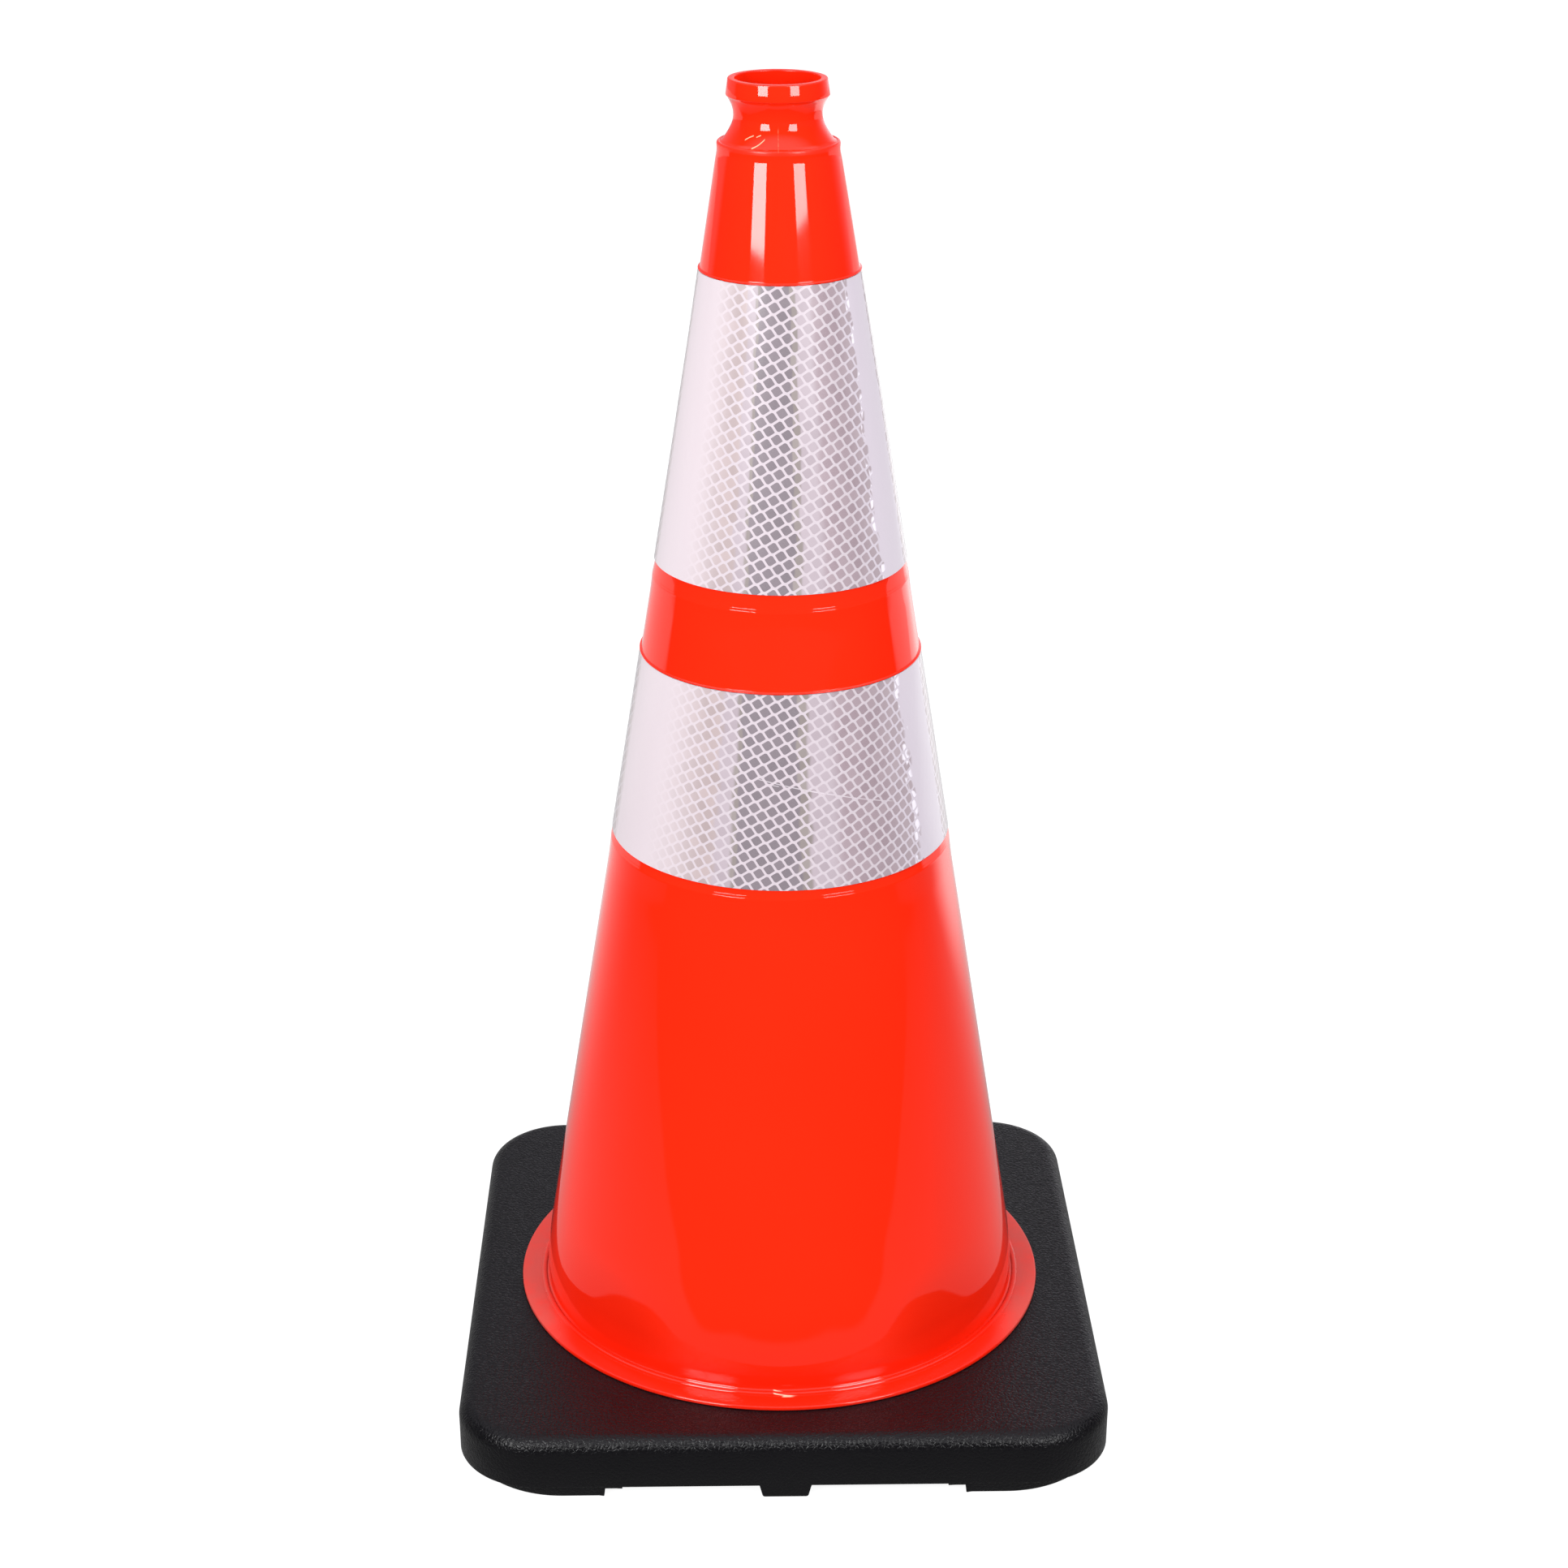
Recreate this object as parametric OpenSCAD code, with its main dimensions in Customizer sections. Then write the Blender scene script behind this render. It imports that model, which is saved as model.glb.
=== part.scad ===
/* [Overall] */
// Height from the ground to the top of the rim
total_h = 706; // [690:1:720]
// Side length of the square base
base_side = 346; // [340:1:370]
// Number of facets of the round shapes
round_facets = 96; // [48:8:128]

/* [Cone shell] */
// Radius that the straight outer taper would reach at ground level
cone_r0 = 140.1; // [139:0.1:141]
// Radius lost for each millimetre of height
taper = 0.1631; // [0.162:0.0001:0.164]
// Wall thickness of the shell
wall = 2.6; // [2.2:0.1:3]
// Inner radius of the open top
top_bore_r = 21.4; // [20.8:0.1:21.6]
// Depth of the straight part of the open top
top_bore_h = 10; // [8:0.5:10]

/* [Skirt] */
// Outer radius of the flange that lies on the base
flange_r = 146.1; // [144:0.1:150]
// Thickness of that flange at its rim
flange_t = 2.2; // [1.8:0.1:3]
// Outer radius of the wall that passes through the base
throat_r = 131.1; // [130.8:0.1:131.4]
// Outer radius of the lock flange under the base
lock_r = 143; // [140:0.5:148]
// Thickness of the lock flange
lock_t = 3.5; // [2.5:0.5:5]
// Number of keys that stop the shell turning in the base
key_count = 8; // [4:1:12]

/* [Reflective collars] */
// Height of the upper collar's top edge
upper_top_z = 612; // [606:1:616]
// Width of the upper collar, along the slope
upper_w = 152.4; // [101.6:0.1:152.4]
// Width of the orange band between the collars, along the slope
gap_w = 50.8; // [50.8:0.1:60]
// Width of the lower collar, along the slope
lower_w = 101.6; // [90:0.1:101.6]
// Thickness of the prismatic top film
film_t = 0.48; // [0.3:0.01:0.55]
// Thickness of the backing under the film
backing_t = 0.43; // [0.3:0.01:0.5]
// Width of the lap where the film closes on itself
lap_w = 20; // [10:1:30]

/* [Base] */
// Height of the base's flat top
base_top = 35.3; // [33:0.1:38]
// Corner radius of the base in plan
corner_r = 44; // [36:1:56]
// Rounding of the base's upper edge
edge_r = 8.5; // [5:0.5:8.5]
// Height of the feet
foot_h = 7; // [4:0.5:8]
// Corner radius of the feet in plan
foot_corner_r = 55; // [45:1:60]
// Distance from the middle of a side to its corner foot
foot_start = 94; // [88:1:98]
// Width of a middle foot at its tip
mid_foot_w = 24.6; // [18:0.2:34]

/* [Hidden] */

$fn = round_facets;
over = 1;                 // how far a cut runs past a face
fit_gap = 0.05;           // gap between faces that touch
slope = 1/sqrt(1 + taper*taper);   // height for each millimetre along the slope
half = base_side/2;

// Collar edges, from the top down
upper_bot_z = upper_top_z - upper_w*slope;
lower_top_z = upper_bot_z - gap_w*slope;
lower_bot_z = lower_top_z - lower_w*slope;
recess = 0.3;             // depth of the collar's seat below the taper
edge_gap = 0.3;           // gap between a collar's edge and its seat
lip_out = 0.55;           // how far the lip above a collar stands proud
lip_edge = 0.25;          // bevel of that lip's lower edge
lip_h = 7;                // height over which that lip flares
bevel_upper = 9.4;        // length of the bevel under the upper collar
bevel_lower = 5.4;        // the same under the lower collar
ridge_upper = 0.5;        // height of the ridge that ends the upper bevel
ridge_lower = 1;          // the same for the lower bevel
ridge_half = 0.8;         // half of the ridge's height along the cone
fade_upper = 2.5;         // height over which the upper ridge dies away
fade_lower = 11;          // the same for the lower ridge

// Neck and rim, measured down from the top
rim_edge = 1;             // rounding of the rim's outer edge
rim_inner_edge = 1.2;     // rounding of the rim's inner edge
rim_top_r = 24.8;
rim_low_r = 25.75;
rim_h = 7.6;
rim_under_r = 0.5;        // rounding of the rim's lower edge
waist_r = 22.04;
waist_z = total_h - 17.8;
waist_up_r = 14.1;        // radius of the hollow above the waist
waist_up_a = [172, 145];  // angles between which the upper hollow runs
waist_down_r = 16.2;      // radius of the hollow below it
waist_down_a = 48.9;      // angle through which the lower hollow runs
bead_r = 1.15;            // rounded bead round the shoulder
bead_ring_r = 29.45;
bead_end_a = 125;         // angle at which the bead meets the hollow
bead_z = total_h - 31.6;
shoulder_h = 3.2;         // height of the plain ring under the bead
shoulder_flare = [0.4, 6];         // how far the ring's foot stands out, and how low
shoulder_low_h = 8.4;     // depth below the bead at which the taper starts
inner_turn = [0.8, 4];    // how far the bore turns in at the shoulder, and how low
inner_low_h = 9;          // depth below the bead at which the bore's taper starts

// Skirt
skirt_top_z = 64;         // where the taper starts to turn upright
skirt_low_z = 46;         // where it is upright
skirt_steps = 6;
flange_z = base_top + fit_gap;
flange_low_r = 0.6;       // rounding of the flange's lower edge
flange_top_r = 1;         // rounding of its upper edge
flange_rise = 0.7;        // rise of the flange from its rim to the bead
skirt_bead_ring_r = 133;
skirt_bead_r = 1;
fillet_r = 1.2;           // fillet between the skirt's wall and the flange
fillet_up = 2.2;          // height of that fillet's centre above the flange
lock_taper = 0.3;         // how far the wall thins at the lock flange
key_w = 12;
key_d = 5;

// Base
hole_r = throat_r + fit_gap;
mid_foot_draft = 1.7;     // how much wider a middle foot is at its root
mid_foot_d = 25;          // depth of a middle foot, in from the side
foot_edge_r = 1.6;        // rounding of a foot's lower edges
ledge_w = 9;              // low ledge beside each corner foot
ledge_h = 2;
lock_clear_r = 147;       // the feet stay outside this radius

function body_r(z) = cone_r0 - taper*z;

// Points of an arc about [r, z], from angle a0 to a1 in n steps
function arc(r, z, rad, a0, a1, n) =
    [for (i = [0:n]) let (a = a0 + (a1 - a0)*i/n) [r + rad*cos(a), z + rad*sin(a)]];

// Outer outline of the neck and rim, from the shoulder up
function neck_outer() = let (
    ring_r = bead_ring_r + bead_r,
    low_z = bead_z - shoulder_low_h,
    under_z = total_h - rim_h - rim_under_r) concat(
    [[body_r(low_z), low_z],
     [ring_r + shoulder_flare[0], bead_z - shoulder_flare[1]],
     [ring_r, bead_z - shoulder_h]],
    arc(bead_ring_r, bead_z, bead_r, 0, bead_end_a, 8),
    arc(waist_r + waist_down_r, waist_z, waist_down_r, 180 + waist_down_a, 180, 10),
    arc(waist_r + waist_up_r, waist_z, waist_up_r, waist_up_a[0], waist_up_a[1], 6),
    arc(rim_low_r - rim_under_r, under_z, rim_under_r, -60, 0, 3),
    [[rim_low_r, total_h - rim_h]],
    arc(rim_top_r - rim_edge, total_h - rim_edge, rim_edge, 0, 90, 5));

// Inner outline of the neck and rim, from the top down
function neck_inner() = let (
    turn_z = bead_z - inner_turn[1],
    low_z = bead_z - inner_low_h) concat(
    arc(top_bore_r + rim_inner_edge, total_h - rim_inner_edge, rim_inner_edge, 90, 180, 5),
    [[top_bore_r, total_h - rim_inner_edge - top_bore_h]],
    arc(waist_r + waist_down_r, waist_z, waist_down_r + wall, 180, 180 + waist_down_a, 10),
    [[body_r(turn_z) - wall - inner_turn[0], turn_z],
     [body_r(low_z) - wall, low_z]]);

// Outer outline of one collar's seat, from its bevel up to its lip
function seat(bot_z, top_z, bevel, ridge, fade) = let (
    ridge_z = bot_z - bevel,
    seat_low_z = bot_z - edge_gap,
    seat_top_z = top_z + edge_gap) [
    [body_r(ridge_z - fade), ridge_z - fade],
    [body_r(ridge_z - ridge_half) + ridge*0.8, ridge_z - ridge_half],
    [body_r(ridge_z) + ridge, ridge_z],
    [body_r(ridge_z + ridge_half) + ridge*0.6, ridge_z + ridge_half],
    [body_r(seat_low_z) - recess, seat_low_z],
    [body_r(seat_top_z) - recess, seat_top_z],
    [body_r(seat_top_z) + lip_out - lip_edge, seat_top_z],
    [body_r(seat_top_z) + lip_out, seat_top_z + 2*lip_edge],
    [body_r(top_z + lip_h), top_z + lip_h]];

// Outer outline of the skirt, from the lock flange up to the taper
function skirt_outer() = let (
    top_z = flange_z + flange_t,
    rise_z = top_z + flange_rise,
    top_r = body_r(skirt_top_z)) concat(
    [[lock_r, foot_h], [lock_r, foot_h + lock_t],
     [throat_r, foot_h + lock_t], [throat_r, flange_z]],
    arc(flange_r - flange_low_r, flange_z + flange_low_r, flange_low_r, -90, 0, 4),
    arc(flange_r - flange_top_r, top_z - flange_top_r, flange_top_r, 0, 80, 4),
    [[skirt_bead_ring_r + 1.6*skirt_bead_r, rise_z]],
    arc(skirt_bead_ring_r, rise_z, skirt_bead_r, 15, 165, 6),
    arc(throat_r + fillet_r, top_z + fillet_up, fillet_r, 250, 180, 4),
    [[throat_r, skirt_low_z]],
    [for (i = [1:skirt_steps]) let (t = i/skirt_steps, u = 1 - t)
        [throat_r*u*u + 2*throat_r*t*u + top_r*t*t, skirt_low_z + (skirt_top_z - skirt_low_z)*t]]);

module shell_outline() {
    polygon(concat(
        skirt_outer(),
        seat(lower_bot_z, lower_top_z, bevel_lower, ridge_lower, fade_lower),
        seat(upper_bot_z, upper_top_z, bevel_upper, ridge_upper, fade_upper),
        neck_outer(),
        neck_inner(),
        [[body_r(skirt_top_z) - wall, skirt_top_z],
         [throat_r - wall, flange_z],
         [throat_r - wall + lock_taper, foot_h]]));
}

// Key blocks round the lock flange, grown by g on every side
module keys(g) {
    for (i = [0:key_count - 1])
        rotate(i*360/key_count + 180/key_count)
            translate([lock_r - key_d - g, -key_w/2 - g, foot_h - over])
                cube([key_d + over + g, key_w + 2*g, lock_t + over + g]);
}

module cone_body() {
    color("orangered")
    difference() {
        rotate_extrude() shell_outline();
        keys(fit_gap);
    }
}

// A conical sleeve between two heights and two offsets from the taper
module sleeve(z0, z1, in, out, angle = 360) {
    rotate_extrude(angle = angle)
        polygon([[body_r(z0) + in, z0], [body_r(z0) + out, z0],
                 [body_r(z1) + out, z1], [body_r(z1) + in, z1]]);
}

backing_in = fit_gap - recess;
backing_out = backing_in + backing_t;
film_in = backing_out + fit_gap/2;
film_out = film_in + film_t;

// The prismatic film, with the lap that closes it at the back
module film(z0, z1) {
    lap_a = lap_w/body_r((z0 + z1)/2)*180/PI;
    sleeve(z0, z1, film_in, film_out);
    rotate(90 - lap_a/2) sleeve(z0, z1, film_out - film_t/2, film_out + film_t, lap_a);
}

module upper_collar_backing() {
    color("gainsboro") sleeve(upper_bot_z, upper_top_z, backing_in, backing_out);
}

module upper_collar_film() {
    color("silver") film(upper_bot_z, upper_top_z);
}

module lower_collar_backing() {
    color("gainsboro") sleeve(lower_bot_z, lower_top_z, backing_in, backing_out);
}

module lower_collar_film() {
    color("silver") film(lower_bot_z, lower_top_z);
}

// Side view of the slab, with its upper edges rounded
module slab_section() {
    flat = half - edge_r;
    polygon(concat([[-half, foot_h], [half, foot_h]],
        arc(flat, base_top - edge_r, edge_r, 0, 90, 12),
        arc(-flat, base_top - edge_r, edge_r, 90, 180, 12)));
}

// Half side view of a round corner of the slab
module corner_section() {
    polygon(concat([[0, foot_h], [corner_r, foot_h]],
        arc(corner_r - edge_r, base_top - edge_r, edge_r, 0, 90, 12),
        [[0, base_top]]));
}

module slab() {
    run = half - corner_r;
    for (a = [0, 90])
        rotate(a) rotate([90, 0, 0])
            linear_extrude(2*run, center = true) slab_section();
    for (x = [-run, run], y = [-run, run])
        translate([x, y, 0]) rotate_extrude() corner_section();
}

// Plan of a rounded square with half-width w and corner radius r
module rounded_square(w, r) {
    for (a = [0, 90]) rotate(a) square([2*w, 2*(w - r)], center = true);
    for (x = [r - w, w - r], y = [r - w, w - r]) translate([x, y]) circle(r);
}

// Feet and their ledges at the four corners
module corner_feet() {
    intersection() {
        linear_extrude(foot_h + over) difference() {
            rounded_square(half, foot_corner_r);
            circle(lock_clear_r);
        }
        for (x = [-1, 1], y = [-1, 1]) scale([x, y, 1]) {
            translate([foot_start, foot_start, 0])
                cube([half, half, foot_h + over]);
            ledge_start = foot_start - ledge_w;
            translate([ledge_start, ledge_start, foot_h - ledge_h])
                cube([half, half, ledge_h + over]);
        }
    }
}

// A drafted foot in the middle of each side
module mid_feet() {
    w = mid_foot_w/2;
    for (a = [0:90:270])
        rotate(a) translate([0, mid_foot_d - half, 0]) rotate([90, 0, 0])
            linear_extrude(mid_foot_d)
                polygon(concat(
                    arc(w - foot_edge_r, foot_edge_r, foot_edge_r, -90, -10, 4),
                    [[w + mid_foot_draft, foot_h + over], [-w - mid_foot_draft, foot_h + over]],
                    arc(foot_edge_r - w, foot_edge_r, foot_edge_r, 190, 270, 4)));
}

module base() {
    color([0.11, 0.11, 0.12]) {
        difference() {
            union() {
                slab();
                corner_feet();
                mid_feet();
            }
            translate([0, 0, -over]) cylinder(r = hole_r, h = base_top + 2*over);
            translate([0, 0, -over])
                cylinder(r = lock_r + fit_gap, h = foot_h + lock_t + fit_gap + over);
        }
        intersection() {
            keys(-fit_gap);
            translate([0, 0, foot_h]) cylinder(r = lock_r + over/2, h = lock_t + fit_gap + over/2);
        }
    }
}

cone_body();
base();
upper_collar_backing();
upper_collar_film();
lower_collar_backing();
lower_collar_film();
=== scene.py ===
import math

import bmesh
import bpy
import numpy as np
from mathutils import Matrix, Vector


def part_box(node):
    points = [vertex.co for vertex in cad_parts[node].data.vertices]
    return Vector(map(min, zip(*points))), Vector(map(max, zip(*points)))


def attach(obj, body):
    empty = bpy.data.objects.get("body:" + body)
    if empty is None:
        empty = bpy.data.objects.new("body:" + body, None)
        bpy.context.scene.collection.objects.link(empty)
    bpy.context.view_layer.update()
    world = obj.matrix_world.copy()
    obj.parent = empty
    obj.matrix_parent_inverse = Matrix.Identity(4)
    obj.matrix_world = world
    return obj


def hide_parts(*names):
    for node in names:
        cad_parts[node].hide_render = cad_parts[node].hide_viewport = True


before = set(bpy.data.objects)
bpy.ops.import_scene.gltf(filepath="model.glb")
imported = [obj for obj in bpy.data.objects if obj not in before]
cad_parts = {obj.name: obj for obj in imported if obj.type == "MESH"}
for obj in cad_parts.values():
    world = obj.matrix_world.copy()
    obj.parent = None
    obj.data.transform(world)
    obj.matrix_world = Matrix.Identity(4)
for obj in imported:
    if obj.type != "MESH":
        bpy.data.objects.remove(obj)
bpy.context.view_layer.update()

MM = 0.001
rng = np.random.default_rng(28)


def frame_size(node, corner, axis):
    """A coordinate of a CAD node's box in millimetres. Corner 0 is the lowest, 1 the highest."""
    return round(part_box(node)[corner][axis]/MM, 1)


# ---------------------------------------------------------------- the real sizes, in millimetres
TOTAL_H = frame_size("cone_body", 1, 2)
FLANGE_R = frame_size("cone_body", 1, 0)
FOOT_H = frame_size("cone_body", 0, 2)
BASE_TOP = frame_size("base", 1, 2)
HALF = frame_size("base", 1, 0)
UPPER_TOP = frame_size("upper_collar_film", 1, 2)

# the shell: the straight taper's radius at the ground, what it loses for each millimetre up, and the rest
CONE_R0, TAPER = 140.1, 0.1631
HALF_ANGLE_COS = 1/math.sqrt(1 + TAPER*TAPER)
HALF_ANGLE_SIN = TAPER*HALF_ANGLE_COS
WALL = 2.6
THROAT_R = 131.1                    # the upright wall that passes through the base
SKIRT_LOW, SKIRT_TOP = 46.0, 64.0   # where the wall is upright, and where the taper starts
LOCK_R, LOCK_T = 143.0, 3.5         # the lock flange under the base
FLANGE_Z, FLANGE_T = BASE_TOP + 0.05, 2.2
FLANGE_TOP = FLANGE_Z + FLANGE_T
WAIST_R, WAIST_Z = 22.04, TOTAL_H - 17.8
BORE_R = 21.2
SHOULDER_Z = TOTAL_H - 31.6         # the bead round the shoulder
LEAN, LEAN_Z = 1.9, 522.0           # how far the rim leans, and the height where that starts

# the collars: 6 inches, a gap of 2 inches and 4 inches, along the slope
UPPER_BOT = UPPER_TOP - 152.4*HALF_ANGLE_COS
LOWER_TOP = UPPER_BOT - 50.8*HALF_ANGLE_COS
LOWER_BOT = LOWER_TOP - 101.6*HALF_ANGLE_COS
BACKING_IN, BACKING_OUT = -0.25, 0.18       # out from the taper
FILM_IN, FILM_OUT = 0.205, 0.685
FILM_T = FILM_OUT - FILM_IN
LAP = 20.0

# the base and its feet
CORNER_R, EDGE_R = 44.0, 8.5
FOOT_CORNER_R, FOOT_START, LEDGE_START = 55.0, 94.0, 85.0
LOCK_CLEAR_R = 147.0                # the feet stay outside this radius
MID_FOOT_HALF, MID_FOOT_DRAFT = 12.3, 1.7

# fine scratches: two ends (x, z), width, bow, and how far forward they lie (y from, y to)
NECK_SCRATCHES = [
    ((-18.2, 678.9), (-13.6, 681.4), 0.30, 0.2, -40, -10),
    ((-15.2, 675.7), (-8.2, 680.3), 0.34, -0.6, -40, -10),
    ((-12.6, 680.7), (-10.2, 681.8), 0.26, 0.0, -40, -10)]
BEAD_NICKS = [((-6.2, 38.8), (8.0, 37.5), 0.30, -0.3, -137, -131)]
FILM_SCRATCHES = [
    ((-14.2, 368.8), (20.5, 360.2), 0.32, 0.3, -100, -40),
    ((1.0, 365.2), (58.0, 348.2), 0.32, 1.2, -100, -40),
    ((-9.0, 366.2), (-2.0, 365.0), 0.28, 0.0, -100, -40)]


def body_r(z):
    """Radius of the straight taper at this height."""
    return CONE_R0 - TAPER*z


def lean_x(z):
    """The flexible neck stands a little to the left of the axis."""
    return -LEAN*np.clip((np.asarray(z, float) - LEAN_Z)/(TOTAL_H - LEAN_Z), 0, None)**1.5


# ---------------------------------------------------------------- mesh helpers
def new_object(name, verts, faces, materials, smooth=True):
    """An object from points in millimetres and faces given as lists of point numbers."""
    mesh = bpy.data.meshes.new(name)
    mesh.from_pydata((np.asarray(verts, float)*MM).tolist(), [], [list(map(int, f)) for f in faces])
    for m in materials:
        mesh.materials.append(m)
    mesh.polygons.foreach_set("use_smooth", np.full(len(mesh.polygons), smooth))
    mesh.validate()
    mesh.update()
    obj = bpy.data.objects.new(name, mesh)
    bpy.context.scene.collection.objects.link(obj)
    return obj


def sharpen(obj, degrees):
    """Keeps the edges sharper than this angle crisp, on an object that is shaded smooth."""
    bm = bmesh.new()
    bm.from_mesh(obj.data)
    limit = math.radians(degrees)
    for e in bm.edges:
        e.smooth = not (len(e.link_faces) == 2 and e.calc_face_angle(0) > limit)
    bm.to_mesh(obj.data)
    bm.free()


def lathe(outline, count, warp):
    """A closed outline [(r, z)] turned about Z. warp(theta, r, z) gives the moved r and z."""
    pts = np.asarray(outline, float)
    n = len(pts)
    theta = np.arange(count)*2*np.pi/count
    t, k = np.meshgrid(theta, np.arange(n), indexing="ij")
    r, z = warp(t, pts[k, 0], pts[k, 1])
    verts = np.stack([r*np.sin(t) + lean_x(z), -r*np.cos(t), z], -1).reshape(-1, 3)
    i, j = np.meshgrid(np.arange(count), np.arange(n), indexing="ij")
    i2, j2 = (i + 1) % count, (j + 1) % n
    faces = np.stack([i*n + j, i2*n + j, i2*n + j2, i*n + j2], -1).reshape(-1, 4)
    return verts, faces


def arc(x, y, rad, a0, a1, n):
    """Points of an arc about (x, y) from angle a0 to a1, in degrees and n steps."""
    a = np.radians(np.linspace(a0, a1, n + 1))
    return list(zip(x + rad*np.cos(a), y + rad*np.sin(a)))


def refine(outline, step):
    """The closed outline with its long straight runs cut into pieces no longer than step."""
    out = []
    for a, b in zip(outline, outline[1:] + outline[:1]):
        n = max(1, int(math.ceil(math.dist(a, b)/step)))
        out += [(a[0] + (b[0] - a[0])*i/n, a[1] + (b[1] - a[1])*i/n) for i in range(n)]
    return out


def smooth_step(x, a, b):
    t = np.clip((x - a)/(b - a), 0, 1)
    return t*t*(3 - 2*t)


# ---------------------------------------------------------------- node helpers
class Nodes:
    """Builds one material, or the world, from short calls."""

    def __init__(self, name, world=False):
        self.owner = bpy.data.worlds.new(name) if world else bpy.data.materials.new(name)
        self.owner.use_nodes = True
        self.tree = self.owner.node_tree
        self.tree.nodes.clear()

    def add(self, kind, **values):
        node = self.tree.nodes.new(kind)
        for key, value in values.items():
            setattr(node, key, value)
        return node

    def link(self, value, socket):
        if isinstance(value, bpy.types.NodeSocket):
            self.tree.links.new(value, socket)
        else:
            socket.default_value = value

    def math(self, op, a, b=0.0):
        node = self.add("ShaderNodeMath", operation=op)
        self.link(a, node.inputs[0])
        self.link(b, node.inputs[1])
        return node.outputs[0]

    def fold(self, op, values):
        out = values[0]
        for value in values[1:]:
            out = self.math(op, out, value)
        return out

    def times(self, *values):
        return self.fold("MULTIPLY", values)

    def plus(self, *values):
        return self.fold("ADD", values)

    def largest(self, *values):
        return self.fold("MAXIMUM", values)

    def size(self, value):
        return self.math("ABSOLUTE", value)

    def vmath(self, op, a, b=(0, 0, 0), scale=None):
        node = self.add("ShaderNodeVectorMath", operation=op)
        self.link(a, node.inputs[0])
        self.link(b, node.inputs[1])
        if scale is not None:
            self.link(scale, node.inputs["Scale"])
        return node.outputs["Value"] if op == "LENGTH" else node.outputs[0]

    def split(self, vector):
        node = self.add("ShaderNodeSeparateXYZ")
        self.link(vector, node.inputs[0])
        return list(node.outputs)

    def combine(self, x, y, z):
        node = self.add("ShaderNodeCombineXYZ")
        for value, socket in zip((x, y, z), node.inputs):
            self.link(value, socket)
        return node.outputs[0]

    def coords(self):
        """Object coordinates in millimetres: the vector, then x, y and z."""
        v = self.vmath("SCALE", self.add("ShaderNodeTexCoord").outputs["Object"], scale=1000.0)
        return [v] + self.split(v)

    def noise(self, vector, scale, detail=2.0, rough=0.5, distortion=0.0):
        node = self.add("ShaderNodeTexNoise")
        self.link(vector, node.inputs["Vector"])
        self.link(scale, node.inputs["Scale"])
        self.link(detail, node.inputs["Detail"])
        self.link(rough, node.inputs["Roughness"])
        self.link(distortion, node.inputs["Distortion"])
        return node.outputs[0]

    def creases(self, vector, scale):
        """Distance to the nearest edge between cells of random shape."""
        node = self.add("ShaderNodeTexVoronoi", feature="DISTANCE_TO_EDGE")
        self.link(vector, node.inputs["Vector"])
        self.link(scale, node.inputs["Scale"])
        return node.outputs["Distance"]

    def facing(self, normal=None):
        """How far a surface with this normal is turned from the line of sight: 0 face on, 1 edge on."""
        node = self.add("ShaderNodeLayerWeight")
        node.inputs["Blend"].default_value = 0.5
        if normal is not None:
            self.link(normal, node.inputs["Normal"])
        return node.outputs["Facing"]

    def range(self, value, a, b, c=0.0, d=1.0, kind="SMOOTHSTEP"):
        """Maps value from the span a to b onto c to d, and stays at c or d outside it."""
        node = self.add("ShaderNodeMapRange", interpolation_type=kind, clamp=True)
        for x, socket in zip((value, a, b, c, d), node.inputs):
            self.link(x, socket)
        return node.outputs[0]

    def mix(self, factor, a, b):
        node = self.add("ShaderNodeMix", data_type="RGBA", blend_type="MIX")
        self.link(factor, node.inputs[0])
        self.link(a if isinstance(a, bpy.types.NodeSocket) else (*a, 1), node.inputs[6])
        self.link(b if isinstance(b, bpy.types.NodeSocket) else (*b, 1), node.inputs[7])
        return node.outputs[2]

    def bump(self, height, strength, distance):
        node = self.add("ShaderNodeBump")
        self.link(height, node.inputs["Height"])
        self.link(strength, node.inputs["Strength"])
        self.link(distance, node.inputs["Distance"])
        return node.outputs[0]

    def shader(self, **values):
        node = self.add("ShaderNodeBsdfPrincipled")
        for key, value in values.items():
            socket = node.inputs[key.replace("_", " ")]
            if not isinstance(value, bpy.types.NodeSocket) and socket.type == "RGBA":
                value = (*value, 1)
            self.link(value, socket)
        return node.outputs[0]

    def mix_shader(self, factor, a, b):
        node = self.add("ShaderNodeMixShader")
        self.link(factor, node.inputs[0])
        self.link(a, node.inputs[1])
        self.link(b, node.inputs[2])
        return node.outputs[0]

    def finish(self, shader):
        world = isinstance(self.owner, bpy.types.World)
        output = self.add("ShaderNodeOutputWorld" if world else "ShaderNodeOutputMaterial")
        self.link(shader, output.inputs["Surface"])
        return self.owner


# ---------------------------------------------------------------- materials of the object
PAINTED_WARM_WHITE = (0.71, 0.625, 0.655)       # painted light: the sheeting's white as seen from its left side
PAINTED_COOL_WHITE = (0.66, 0.595, 0.66)        # and from its right side, painted darker and cooler


def scratch(n, x, y, z, start, end, width, bow, y_from, y_to):
    """A fine scratch on the front, between two points (x, z): 1 on the line, 0 away from it."""
    (x0, z0), (x1, z1) = start, end
    t = n.math("DIVIDE", n.math("SUBTRACT", x, x0), x1 - x0)
    arch = n.times(t, n.math("SUBTRACT", 1.0, t), 4.0*bow)
    line = n.plus(n.math("MULTIPLY", t, z1 - z0), z0, arch)
    near = n.range(n.size(n.math("SUBTRACT", z, line)), width*0.4, width, 1.0, 0.0)
    return n.times(near, n.range(t, 0.0, 0.08), n.range(t, 0.92, 1.0, 1.0, 0.0),
                   n.math("GREATER_THAN", y, y_from), n.math("LESS_THAN", y, y_to))


def scratches(n, x, y, z, rows):
    return n.largest(*[scratch(n, x, y, z, *row) for row in rows])


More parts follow.
